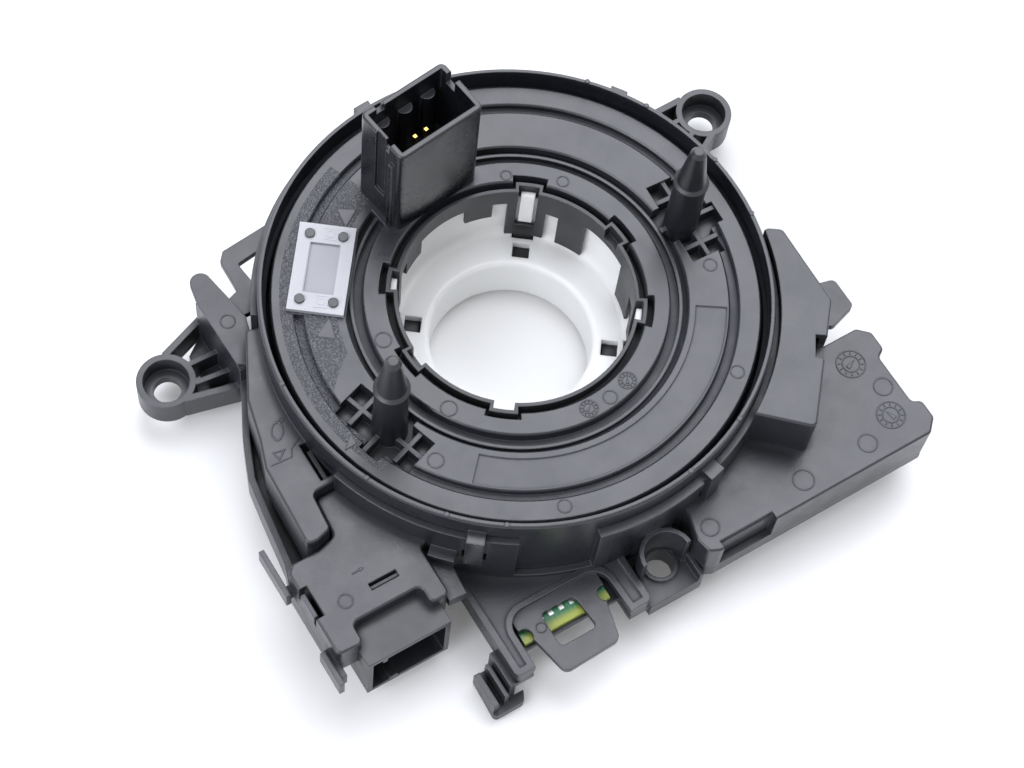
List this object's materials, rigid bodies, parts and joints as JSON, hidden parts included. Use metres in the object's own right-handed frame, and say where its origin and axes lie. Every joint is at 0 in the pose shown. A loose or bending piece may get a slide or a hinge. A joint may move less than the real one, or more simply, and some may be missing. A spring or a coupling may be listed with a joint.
{
  "type": "steering clock spring",
  "caption": "Round steering-column housing with a turning rotor inside; a wound ribbon cable keeps the wheel's electrics connected while the rotor turns.",
  "frame": {"origin": "on the rotor axis, at the lower mouth of the hub bore", "axes": "+Z along the rotor axis towards the steering wheel, +X along the long front edge of the flat box, +Y towards the wheel plug's side"},
  "size_m": [0.1324, 0.1119, 0.0537],
  "materials": {
    "housing": "moulded, fine grain",
    "drum": "moulded, satin",
    "covers": "moulded, fine grain",
    "socket": "moulded, satin",
    "rotor": "moulded, satin rings with a grained sector",
    "wheel_plug": "moulded, semi-gloss",
    "posts": "moulded, satin",
    "clip_ring": "moulded, satin",
    "sleeve": "natural white acetal, smooth",
    "window": "clear moulding, lightly frosted",
    "gold_contact": "gold plated",
    "tin_contact": "tin plated",
    "board": "green solder resist",
    "disc": "opaque film",
    "sensor": "moulded",
    "ribbon": "flat cable film"
  },
  "bodies": {
    "housing": {"lower_housing": "housing", "drum_ring": "drum", "plug_cover": "covers", "harness_socket": "socket", "harness_pins": "tin_contact", "front_panel": "covers", "contact_board": "board", "board_pads": "tin_contact", "harness_clip": "housing", "sensor_box_cover": "covers", "side_cap": "covers", "sensor_board": "board", "light_barriers": "sensor", "ribbon_cable": "ribbon", "ribbon_terminal_outer": "socket"},
    "rotor": {"rotor_cover": "rotor", "wheel_plug": "wheel_plug", "wheel_plug_pins": "gold_contact", "drive_post_right": "posts", "drive_post_left": "posts", "centring_window": "window", "hub_clip_ring": "clip_ring", "hub_sleeve": "sleeve", "winding_drum": "drum", "ribbon_terminal_inner": "socket", "code_disc": "disc"}
  },
  "joints": [
    {"name": "rotor_spin", "type": "hinge", "parent": "housing", "child": "rotor", "pos_m": [0, 0, 0], "axis": [0, 0, 1], "range_deg": [-900, 900]}
  ]
}
